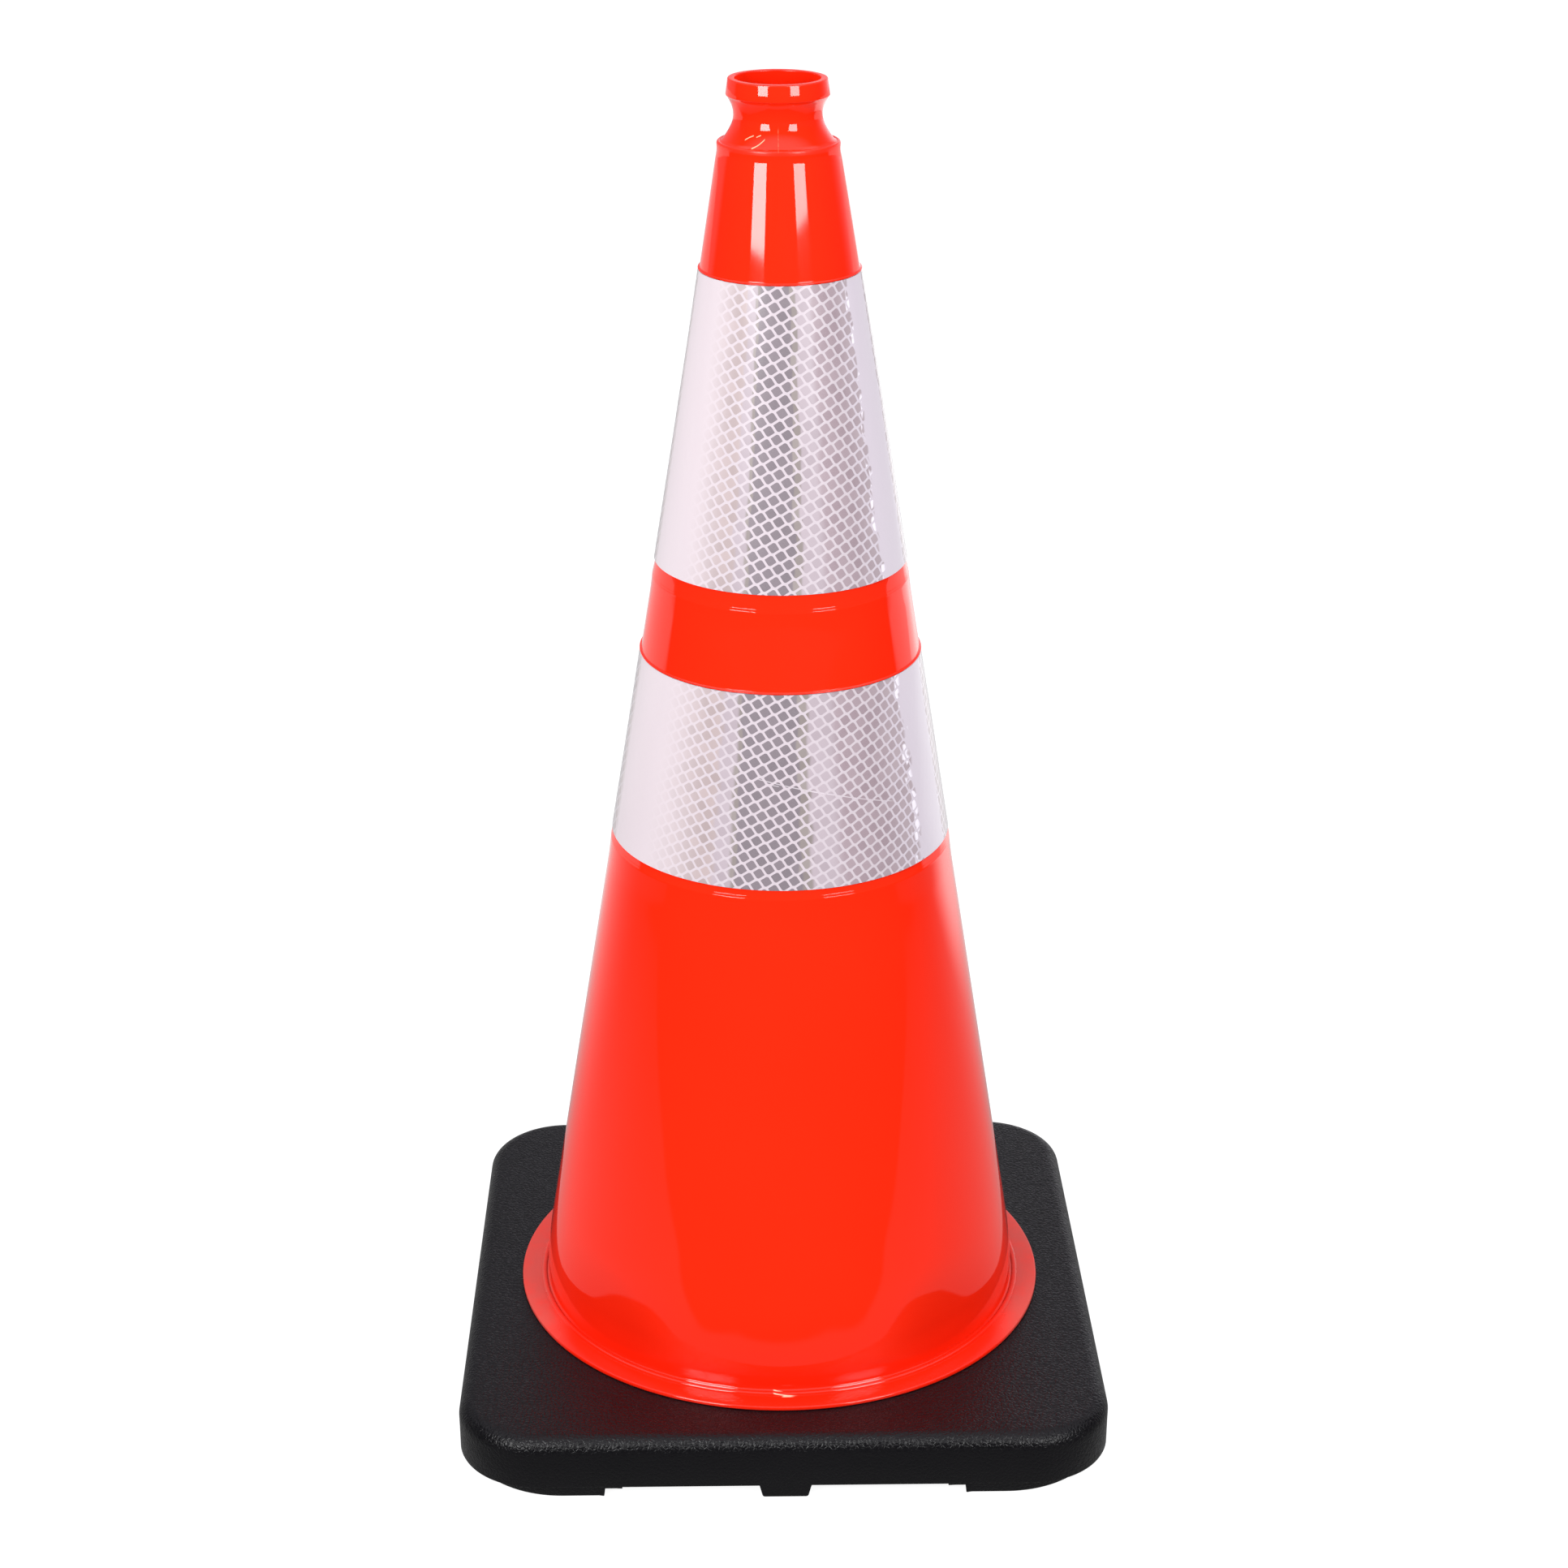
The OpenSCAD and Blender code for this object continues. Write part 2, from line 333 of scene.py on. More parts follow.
def orange_material():
    """Glossy fluorescent PVC, with the shell's scratches, its moulding line, its scuffed flange with a
    painted reflection, painted shade low on the skirt and inside the open top, and a painted sheen towards
    its edges.
    """
    n = Nodes("orange_pvc")
    v, x, y, z = n.coords()
    wide = n.size(x)
    marks = scratches(n, x, y, z, NECK_SCRATCHES)
    nicks = scratches(n, x, y, z, BEAD_NICKS)

    # the moulding line up the front of the neck, fainter in places
    seam = n.times(n.range(n.size(n.math("ADD", x, 2.0)), 0.12, 0.42, 1.0, 0.0),
                   n.math("LESS_THAN", y, 0.0),
                   n.range(z, 674.3, 675.2), n.range(z, 683.0, 686.5, 1.0, 0.0),
                   n.range(n.noise(v, 0.5, 2.0), 0.40, 0.62, 0.25, 1.0))

    # painted shade: darker red low on the skirt, most towards its sides, and inside the open top
    skirt_shade = n.times(n.range(z, 44.0, 92.0, 1.0, 0.0), n.range(wide, 45.0, 85.0, 0.35, 1.0))
    from_axis = n.vmath("LENGTH", n.combine(n.math("ADD", x, LEAN), y, 0.0))
    bore_shade = n.times(n.range(from_axis, BORE_R + 0.2, BORE_R + 0.7, 0.7, 0.0), n.range(z, 680.0, 690.0))
    painted_shade = n.largest(skirt_shade, n.range(z, 42.0, 62.0, 0.8, 0.0), bore_shade)

    # scuffs on the flange, at its left and right: rougher, with a painted reflection that dulls the colour
    scuff_and_painted_reflection = n.times(n.range(wide, 112.0, 134.0),
                    n.range(n.noise(v, 0.045, 4.0, 0.6), 0.25, 0.6, 0.45, 1.0),
                    n.range(z, 38.7, 39.5, 1.0, 0.0))

    colour = n.mix(n.noise(v, 0.012, 3.0), (0.88, 0.0200, 0.0040), (0.91, 0.0225, 0.0048))
    speck = n.range(n.noise(v, 1.4, 2.0, 0.6), 0.35, 0.7, 0.0, 0.10)
    colour = n.mix(speck, colour, (0.80, 0.017, 0.0038))
    # painted shade on the skirt and inside the open top
    colour = n.mix(painted_shade, colour, (0.76, 0.0120, 0.0018))
    # painted sheen: a brighter red where the surface turns edge on, in place of light from the sides
    colour = n.mix(n.range(n.facing(), 0.30, 0.85), colour, (1.0, 0.0225, 0.0050))
    colour = n.mix(n.math("MULTIPLY", marks, 0.9), colour, (1.0, 0.50, 0.30))
    colour = n.mix(n.math("MULTIPLY", nicks, 0.8), colour, (1.0, 0.66, 0.48))
    colour = n.mix(n.math("MULTIPLY", seam, 0.35), colour, (0.90, 0.22, 0.12))
    # painted reflection on the flange's scuffed ends
    colour = n.mix(scuff_and_painted_reflection, colour, (0.60, 0.058, 0.042))

    # glossy, and duller on the marks, the rim's top, the shoulder's bead and the flange's top
    rim_top = n.range(z, TOTAL_H - 1.0, TOTAL_H - 0.4, 0.0, 0.22)
    shoulder = n.range(n.size(n.math("SUBTRACT", z, SHOULDER_Z)), 0.8, 1.6, 0.22, 0.0)
    flange = n.times(n.range(z, 37.2, 37.4), n.range(z, 37.8, 38.0, 0.14, 0.0))
    rough = n.plus(n.range(n.noise(v, 0.02, 4.0, 0.6), 0.3, 0.7, 0.035, 0.06),
                   n.math("MULTIPLY", n.plus(marks, scuff_and_painted_reflection), 0.25), rim_top, shoulder, flange)
    height = n.plus(n.math("MULTIPLY", n.noise(v, 0.9), 0.008), n.math("MULTIPLY", marks, -0.6))
    return n.finish(n.shader(Base_Color=colour, Roughness=rough, Normal=n.bump(height, 0.30, 0.0001),
                             IOR=1.5))


def black_material():
    """Satin black PVC with a fine leathery grain."""
    n = Nodes("black_pvc")
    v = n.coords()[0]
    grain = n.noise(v, 0.55, 3.0, 0.6, 0.4)
    colour = n.mix(n.noise(v, 0.02, 4.0, 0.6), (0.0022, 0.0020, 0.0028), (0.0036, 0.0032, 0.0044))
    rough = n.range(grain, 0.3, 0.7, 0.27, 0.40)
    height = n.plus(grain, n.math("MULTIPLY", n.range(n.creases(v, 0.42), 0.0, 0.25), 0.5))
    return n.finish(n.shader(Base_Color=colour, Roughness=rough, Normal=n.bump(height, 0.7, 0.0004),
                             IOR=1.45, Specular_IOR_Level=0.32))


def backing_material():
    """Dull white vinyl, of which only the edges show."""
    n = Nodes("white_backing")
    colour = n.mix(n.noise(n.coords()[0], 0.15, 3.0), (0.52, 0.46, 0.50), (0.60, 0.54, 0.58))
    return n.finish(n.shader(Base_Color=colour, Roughness=0.45, IOR=1.5))


def prism_turn(n, x, y):
    """How far the sheeting is turned sideways from the line of sight: its sine, positive to the right."""
    lean = 0.25                 # two feelers lean this much to the left and right of the surface's normal
    gain = math.sqrt(1 + lean**2)/0.5/0.93
    far = n.math("SQRT", n.plus(n.times(x, x), n.times(y, y)))
    rx, ry = n.math("DIVIDE", x, far), n.math("DIVIDE", y, far)
    out = n.combine(rx, ry, 0.0)
    side = n.combine(n.math("MULTIPLY", ry, -1.0), rx, 0.0)
    feelers = [n.facing(n.vmath("NORMALIZE", n.vmath("ADD", out, n.vmath("SCALE", side, scale=s))))
               for s in (lean, -lean)]
    return n.math("MULTIPLY", n.math("SUBTRACT", *feelers), gain)


def sheeting_shader(n, colour, turn):
    """The sheeting's clear face, whose gloss fades towards the sides."""
    gloss = n.range(n.size(turn), 0.60, 0.86, 0.7, 0.25)
    return n.shader(Base_Color=colour, Roughness=0.35, IOR=1.5, Coat_Weight=gloss, Coat_Roughness=0.06)


def cells_material():
    """The cells of prismatic sheeting, their colour painted by how far they are turned from the line of
    sight: painted dark silver reflection face on, then painted bands of other tones, white from the side.
    """
    n = Nodes("prismatic_cells")
    v, x, y, z = n.coords()
    tone = n.add("ShaderNodeAttribute", attribute_name="cell_tone").outputs["Fac"]
    fine = n.noise(v, 3.0, 2.0, 0.7)
    # painted reflection: the tones the cells take at different turns, each varying from cell to cell
    dark = n.mix(tone, (0.195, 0.165, 0.186), (0.235, 0.198, 0.222))
    dark = n.mix(n.range(fine, 0.35, 0.7, 0.0, 0.4), dark, (0.29, 0.255, 0.275))
    olive = n.mix(tone, (0.25, 0.215, 0.205), (0.33, 0.288, 0.278))
    lilac = n.mix(tone, (0.40, 0.335, 0.37), (0.47, 0.40, 0.44))
    mauve = n.mix(tone, (0.31, 0.235, 0.265), (0.38, 0.30, 0.33))
    mauve = n.mix(n.range(fine, 0.35, 0.7, 0.0, 0.3), mauve, (0.44, 0.36, 0.39))
    beige = n.mix(tone, (0.40, 0.322, 0.322), (0.50, 0.405, 0.405))

    cloud = n.math("MULTIPLY", n.math("SUBTRACT", n.noise(v, 0.05), 0.5), 0.05)
    turn = n.plus(prism_turn(n, x, y), cloud)
    jitter = n.math("MULTIPLY", n.math("SUBTRACT", tone, 0.5), 0.03)
    edge = n.plus(turn, jitter)
    # painted reflection: beige and then painted white to the left, bands of these tones at set turns, painted
    # whites to the right
    colour = n.mix(n.range(n.math("MULTIPLY", turn, -1.0), 0.44, 0.82), beige, PAINTED_WARM_WHITE)
    for start, end, band in ((-0.415, -0.385, lilac), (-0.315, -0.290, olive), (-0.278, -0.262, dark),
                             (0.110, 0.128, olive), (0.175, 0.200, lilac), (0.33, 0.42, mauve)):
        colour = n.mix(n.range(edge, start, end), colour, band)
    colour = n.mix(n.range(turn, 0.62, 0.82, 0.0, 0.25), colour, PAINTED_WARM_WHITE)
    # painted glint: a sparkling column of cells at one turn on the right
    painted_glint = n.times(n.range(edge, 0.806, 0.820), n.range(n.noise(v, 0.13, 1.0), 0.47, 0.56))
    colour = n.mix(painted_glint, colour, (0.92, 0.87, 0.95))
    colour = n.mix(n.range(edge, 0.832, 0.850), colour, PAINTED_COOL_WHITE)
    worn = scratches(n, x, y, z, FILM_SCRATCHES)
    colour = n.mix(n.math("MULTIPLY", worn, 0.6), colour, (0.78, 0.72, 0.76))
    return n.finish(sheeting_shader(n, colour, turn))


def lines_material():
    """The white seal lines between the cells, painted lighter towards the sides, warmer on the left and
    cooler on the right.
    """
    n = Nodes("seal_lines")
    v, x, y = n.coords()[:3]
    turn = prism_turn(n, x, y)
    colour = n.mix(n.noise(v, 0.4), (0.54, 0.475, 0.515), (0.60, 0.53, 0.57))
    # painted light: lighter white towards the left side, cooler white towards the right
    colour = n.mix(n.range(turn, -0.35, -0.80), colour, PAINTED_WARM_WHITE)
    colour = n.mix(n.range(turn, 0.60, 0.84), colour, PAINTED_COOL_WHITE)
    return n.finish(sheeting_shader(n, colour, turn))


# ---------------------------------------------------------------- the orange shell
def skirt_outline():
    """From the lock flange under the base, round the flange and its bead, to the start of the taper."""
    top_r = body_r(SKIRT_TOP)
    pts = [(LOCK_R, FOOT_H + 0.3), (LOCK_R, FOOT_H + LOCK_T - 0.3), (LOCK_R - 0.3, FOOT_H + LOCK_T),
           (THROAT_R, FOOT_H + LOCK_T), (THROAT_R, FLANGE_Z)]
    pts += arc(FLANGE_R - 0.6, FLANGE_Z + 0.6, 0.6, -90, 0, 5)
    pts += arc(FLANGE_R - 1.0, FLANGE_TOP - 1.0, 1.0, 0, 84, 6)
    pts += [(141.0, FLANGE_TOP + 0.2), (137.2, FLANGE_TOP + 0.3)]
    pts += arc(133.8, FLANGE_TOP - 0.1, 1.6, 12, 168, 14)
    pts += arc(THROAT_R + 1.2, FLANGE_TOP + 2.2, 1.2, 250, 180, 6)
    pts += [(THROAT_R, SKIRT_LOW)]
    for t in np.linspace(0, 1, 13)[1:]:
        r = THROAT_R*(1 - t)**2 + 2*THROAT_R*t*(1 - t) + top_r*t*t
        pts.append((r, SKIRT_LOW + (SKIRT_TOP - SKIRT_LOW)*t))
    return pts


def seat_outline(bot, top, bevel, ridge, fade):
    """A collar's shallow seat, the crisp ridge below it with two hair-fine steps, the thin lip above it."""
    low = bot - bevel
    slope = (ridge + 0.2)/(bevel - 0.3)
    pts = [(body_r(low - fade), low - fade), (body_r(low - fade*0.8) + ridge*0.05, low - fade*0.8)]
    pts += [(body_r(low - fade*t) + ridge*(1 - t)**1.6, low - fade*t) for t in (0.6, 0.4, 0.2)]
    pts += [(body_r(low - 0.5) + ridge*(1 - 0.8/fade), low - 0.5),
            (body_r(low - 0.12) + ridge*0.985, low - 0.12),
            (body_r(low + 0.12) + ridge*0.985, low + 0.12)]
    step_h = 0.035
    for up, gain in ((0.45, step_h), (1.75, 0.0)):
        for dz, drop in ((0.0, 0.0), (0.05, 0.0), (0.18, step_h), (0.23, step_h)):
            z = low + up + dz
            pts.append((body_r(z) + ridge - slope*(up + dz) + gain - drop, z))
    pts += [(body_r(bot - 0.8) - 0.2 + slope*0.5 - 0.05, bot - 0.8),
            (body_r(bot - 0.3) - 0.27, bot - 0.3), (body_r(top + 0.3) - 0.27, top + 0.3)]
    lip = ((0.3, 0.70), (0.38, 0.88), (0.55, 0.95), (0.72, 0.92), (0.86, 0.78), (1.06, 0.16),
           (1.18, 0.03), (1.35, 0.0), (1.6, 0.0), (3.0, 0.0))
    return pts + [(body_r(top + up) + out, top + up) for up, out in lip]


def neck_outline():
    """From the shoulder and its bead, through the waist, to the top of the rim."""
    ring_r, bead_r = 29.45, 1.15
    shoulder_r = ring_r + bead_r
    hollow_r = 14.1
    rim_low_r, rim_top_r, rim_h = 25.75, 24.65, 7.6
    pts = [(body_r(SHOULDER_Z - 8.4), SHOULDER_Z - 8.4), (shoulder_r + 0.42, SHOULDER_Z - 6),
           (shoulder_r + 0.1, SHOULDER_Z - 4.2), (shoulder_r, SHOULDER_Z - 2.6)]
    pts += arc(ring_r, SHOULDER_Z, bead_r, 0, 122, 12)
    for z in np.linspace(TOTAL_H - 29.95, WAIST_Z, 18):     # a hyperbola, upright at the waist
        pts.append((WAIST_R + 8.1*(math.hypot(1, (WAIST_Z - z)/9.0) - 1), z))
    pts += arc(WAIST_R + hollow_r, WAIST_Z, hollow_r, 176, 147, 9)
    pts += arc(rim_low_r - 0.9, TOTAL_H - rim_h - 0.2, 0.9, -70, 0, 6)
    pts += arc(rim_top_r - 0.7, TOTAL_H - 0.7, 0.7, 8, 90, 8)
    return pts


def inner_outline():
    """The inside, from the rim down."""
    hollow_r = 16.2
    pts = arc(BORE_R + 0.6, TOTAL_H - 0.6, 0.6, 90, 180, 8)
    pts += [(BORE_R, TOTAL_H - 11.2)]
    pts += arc(WAIST_R + hollow_r, WAIST_Z, hollow_r + WALL, 180, 228.9, 12)
    pts += [(body_r(SHOULDER_Z - 4) - WALL - 0.8, SHOULDER_Z - 4),
            (body_r(SHOULDER_Z - 9) - WALL, SHOULDER_Z - 9),
            (body_r(SKIRT_TOP) - WALL, SKIRT_TOP), (THROAT_R - WALL, FLANGE_Z),
            (THROAT_R - WALL + 0.3, FOOT_H)]
    return pts


def shell_warp(theta, r, z):
    """Small unevenness of a moulded, flexible shell, and the moulding line up its neck."""
    outer = r > body_r(z) - 1.9
    amount = smooth_step(z, 40, 120)*0.055
    wave = (np.sin(3*theta + z*0.013 + 0.7) + 0.7*np.sin(5*theta - z*0.021 + 2.1)
            + 0.5*np.sin(9*theta + z*0.034 + 4.0))
    r = r + np.where(outer, amount*wave, 0)

    # four shallow hollows in the skirt, towards the corners of the base
    corner = np.degrees(theta) % 90 - 43
    r = r - 2.3*np.exp(-(corner/15.0)**2)*smooth_step(-z, -94, -60)*smooth_step(z, 41, 57)

    # how far round the surface a point is from the moulding line
    around = ((theta + 0.02 + np.pi) % (2*np.pi) - np.pi)*r
    line = np.exp(-(around/0.28)**2)
    r = r + 0.10*line*smooth_step(z, 673.5, 675)*smooth_step(-z, -686, -681)*outer
    return r, z


def build_shell():
    outline = (skirt_outline() + seat_outline(LOWER_BOT, LOWER_TOP, 5.4, 0.50, 15)
               + seat_outline(UPPER_BOT, UPPER_TOP, 9.4, 0.34, 11) + neck_outline() + inner_outline())
    verts, faces = lathe(refine(outline, 6.0), 360, shell_warp)
    shell = new_object("cone_shell", verts, faces, [orange_material()])
    sharpen(shell, 50)
    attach(shell, "root")
    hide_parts("cone_body")


build_shell()


# ---------------------------------------------------------------- collars
APEX_Z = (CONE_R0 + FILM_OUT)/TAPER         # where the film's outer face would come to a point
LATTICE_U = (5.6327, 0.9120)        # to the next cell along e1, in the cell's own axes
LATTICE_W = (0.9744, 5.6204)        # to the next cell along e2
E1 = np.array([0.8410, -0.5410])    # the cell's axes in the flat sheet, y away from the apex
E2 = np.array([0.5410, 0.8410])
CELL_HALF, CELL_ROUND, CELL_SHARP = 2.36, 1.15, 0.28
GROOVE, DROP = 0.005, 0.001         # depth of the seal lines, and of a cell's edge


def cell_outline(h):
    """A cell with half-width h: a square with two corners well rounded and two nearly sharp."""
    c, s = h - CELL_ROUND, h - CELL_SHARP
    half = arc(c, -c, CELL_ROUND, -27, -4, 1) + [(h, 0.15), (h, s)]
    half += [(s + CELL_SHARP*math.sqrt(0.5), s + CELL_SHARP*math.sqrt(0.5))]
    half += [(s, h), (0.15, h)] + arc(-c, c, CELL_ROUND, 94, 117, 1)
    return half + [(-x, -y) for x, y in half]


def tile_points():
    """One tile of the sheeting, in the cell's axes: its border, the cell's edge, its top and its middle."""
    ux, uy = LATTICE_U
    wx, wy = LATTICE_W
    t1 = np.array([ux/2, uy - wy/2])
    t2 = np.array([ux/2 - wx, -wy/2])
    t3 = np.array([ux/2, wy/2])
    corners = [t1, t3, -t2, -t1, -t3, t2]
    border = []
    for a, b, cuts in zip(corners, corners[1:] + corners[:1], (4, 4, 1, 4, 4, 1)):
        border += [a + (b - a)*i/cuts for i in range(cuts)]
    return np.concatenate([border, cell_outline(CELL_HALF), cell_outline(CELL_HALF - 0.16), [(0, 0)]])


def sheet_tiles(centre, rho_low, rho_high, phi_end):
    """The flat sheet's tiles near the strip: points, their heights, and faces with a slot and a tone."""
    to_sheet = np.array([E1, E2])
    steps = np.array([LATTICE_U, LATTICE_W]) @ to_sheet
    reach = 120
    index = np.array([(i, j) for i in range(-reach, reach + 1) for j in range(-reach, reach + 1)])
    centres = np.array(centre) + index @ steps
    rho = np.hypot(centres[:, 0], centres[:, 1])
    phi = np.arctan2(centres[:, 0], centres[:, 1])
    centres = centres[(rho > rho_low - 5) & (rho < rho_high + 5) & (np.abs(phi) < phi_end + 5/rho)]
    local = tile_points() @ to_sheet
    m, n = len(centres), len(local)//3          # tiles, and points on each ring of a tile
    xy = (centres[:, None, :] + local[None]).reshape(-1, 2)
    height = np.tile(np.concatenate([np.full(2*n, -GROOVE), np.full(n, -DROP), [0.0]]), m)
    _, first, same = np.unique(np.round(xy*1000).astype(np.int64), axis=0,
                               return_index=True, return_inverse=True)
    same = same.ravel()

    start = np.arange(m)[:, None]*(3*n + 1)
    k = np.arange(n)
    k2 = (k + 1) % n
    faces = []
    for ring in (0, n):
        lines = [start + ring + k, start + ring + k2, start + ring + n + k2, start + ring + n + k]
        faces += same[np.stack(lines, -1).reshape(-1, 4)].tolist()
    tops = [start + 2*n + k, start + 2*n + k2, np.broadcast_to(start + 3*n, (m, n))]
    faces += same[np.stack(tops, -1).reshape(-1, 3)].tolist()
    slots = [1]*(2*m*n) + [0]*(m*n)
    tones = np.tile(np.repeat(rng.random(m), n), 3)
    return xy[first], height[first], zip(faces, slots, tones.tolist())


def flat_strip(xy, height, rows, rho_low, rho_high, phi_end):
    """The strip in polar form, where its four edges are straight and so cut cleanly."""
    scale = (rho_low + rho_high)/2
    bm = bmesh.new()
    layer = bm.faces.layers.float.new("cell_tone")
    rho = np.hypot(xy[:, 0], xy[:, 1])
    phi = np.arctan2(xy[:, 0], xy[:, 1])
    verts = [bm.verts.new((p*scale, q, h)) for p, q, h in zip(phi, rho, height)]
    for corners, slot, tone in rows:
        face = bm.faces.new([verts[i] for i in corners])
        face.material_index = slot
        face[layer] = tone
    side = phi_end*scale
    for point, outward in (((0, rho_low, 0), (0, -1, 0)), ((0, rho_high, 0), (0, 1, 0)),
                           ((-side, 0, 0), (-1, 0, 0)), ((side, 0, 0), (1, 0, 0))):
        bmesh.ops.bisect_plane(bm, geom=bm.verts[:] + bm.edges[:] + bm.faces[:], dist=1e-5,
                               plane_co=point, plane_no=outward, clear_outer=True)
    return bm


def close_strip(bm, rho_low, rho_high, side):
    """Gives the strip its thickness: rim walls, and a plain inner face of strips between the long edges."""
    rim = [e for e in bm.edges if len(e.link_faces) == 1]
    made = bmesh.ops.extrude_edge_only(bm, edges=rim)["geom"]
    inner = [v for v in made if isinstance(v, bmesh.types.BMVert)]
    for v in inner:
        v.co.z = -FILM_T
    for f in [g for g in made if isinstance(g, bmesh.types.BMFace)]:
        f.material_index = 1

    def row(wanted, axis):
        return sorted((v for v in inner if wanted(v)), key=lambda v: v.co[axis])

    low = row(lambda v: v.co.y < rho_low + 1e-3, 0)
    high = row(lambda v: v.co.y > rho_high - 1e-3, 0)
    left = row(lambda v: v.co.x < -side + 1e-3 and v not in (low[0], high[0]), 1)
    right = row(lambda v: v.co.x > side - 1e-3 and v not in (low[-1], high[-1]), 1)
    i = j = 0
    strips = []
    while i < len(low) - 1 or j < len(high) - 1:
        if j == len(high) - 1 or (i < len(low) - 1 and low[i + 1].co.x < high[j + 1].co.x):
            strips.append([low[i], low[i + 1], high[j]])
            i += 1
        else:
            strips.append([low[i], high[j + 1], high[j]])
            j += 1
    first = [v for v in strips[0] if v not in (low[0], high[0])]
    last = [v for v in strips[-1] if v not in (low[-1], high[-1])]
    strips[0] = [low[0]] + first + [high[0]] + left[::-1]
    strips[-1] = [low[-1]] + right + [high[-1]] + last
    for corners in strips:
        bm.faces.new(corners).material_index = 1
    bmesh.ops.recalc_face_normals(bm, faces=bm.faces[:])


def wrap_strip(bm, scale, phi_end):
    """Rolls the strip round the cone, slightly wavy, its far end climbing over its near end."""
    over_start = phi_end - LAP/scale
    for v in bm.verts:
        phi, rho, h = v.co.x/scale, v.co.y, v.co.z
        theta = phi/HALF_ANGLE_SIN
        climb = float(smooth_step(phi, over_start - 2.2/rho, over_start - 0.1/rho))*(FILM_T + 0.03)
        sway = (0.030*math.sin(theta*11 + rho*0.055) + 0.022*math.sin(theta*17 - rho*0.09 + 1.3)
                + 0.018*math.sin(theta*6 + rho*0.13 + 2.2))
        h = h + climb + sway
        r = rho*HALF_ANGLE_SIN + h*HALF_ANGLE_COS
        z = APEX_Z - rho*HALF_ANGLE_COS + h*HALF_ANGLE_SIN
        v.co = Vector((r*math.sin(theta) + float(lean_x(z)), -r*math.cos(theta), z))*MM


def build_film(name, z_low, z_high, centre, node, materials):
    """A strip of prismatic sheeting wrapped round the cone, its ends lapped at the back."""
    rho_low = (APEX_Z - z_high)/HALF_ANGLE_COS
    rho_high = (APEX_Z - z_low)/HALF_ANGLE_COS
    scale = (rho_low + rho_high)/2
    phi_end = math.pi*HALF_ANGLE_SIN + LAP/2/scale
    bm = flat_strip(*sheet_tiles(centre, rho_low, rho_high, phi_end), rho_low, rho_high, phi_end)
    close_strip(bm, rho_low, rho_high, phi_end*scale)
    wrap_strip(bm, scale, phi_end)
    mesh = bpy.data.meshes.new(name)
    bm.to_mesh(mesh)
    bm.free()
    for material in materials:
        mesh.materials.append(material)
    mesh.polygons.foreach_set("use_smooth", np.ones(len(mesh.polygons), bool))
    obj = bpy.data.objects.new(name, mesh)
    bpy.context.scene.collection.objects.link(obj)
    sharpen(obj, 40)
    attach(obj, "root")
    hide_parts(node)


def build_backing(name, z_low, z_high, node, material):
    """The thin ring under a film, its edges softly worn."""
    def fray(theta, r, z):
        edge = np.abs(z - (z_low + z_high)/2) > (z_high - z_low)/2 - 0.3
        return r, z + np.where(edge, 0.06*np.sin(theta*37) + 0.05*np.sin(theta*61 + 1), 0)

    z0, z1 = z_low + 0.15, z_high - 0.12
    outline = [(body_r(z0) + BACKING_IN, z0), (body_r(z0) + BACKING_OUT - 0.08, z0),
               (body_r(z0 + 0.1) + BACKING_OUT, z0 + 0.1), (body_r(z1 - 0.1) + BACKING_OUT, z1 - 0.1),
               (body_r(z1) + BACKING_OUT - 0.08, z1), (body_r(z1) + BACKING_IN, z1)]
    ring = new_object(name, *lathe(outline, 360, fray), [material])
    sharpen(ring, 40)
    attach(ring, "root")
    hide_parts(node)


sheeting = [cells_material(), lines_material()]
build_film("upper_film", UPPER_BOT, UPPER_TOP, (0.82, 333.45), "upper_collar_film", sheeting)
build_film("lower_film", LOWER_BOT, LOWER_TOP, (0.82, 509.25), "lower_collar_film", sheeting)
backing = backing_material()
build_backing("upper_backing", UPPER_BOT, UPPER_TOP, "upper_collar_backing", backing)
build_backing("lower_backing", LOWER_BOT, LOWER_TOP, "lower_collar_backing", backing)


# ---------------------------------------------------------------- the base
def square_radius(angle, half, corner):
    """Distance from the middle to a rounded square's edge, in this direction."""
    c, s = np.abs(np.cos(angle)), np.abs(np.sin(angle))
    flat = half/np.maximum(c, s)
    k = half - corner
    b = k*(c + s)
    root = np.sqrt(np.maximum(b*b - (2*k*k - corner*corner), 0))
    at_corner = np.minimum(c, s)*flat > k
    return np.where(at_corner, b + root, flat)


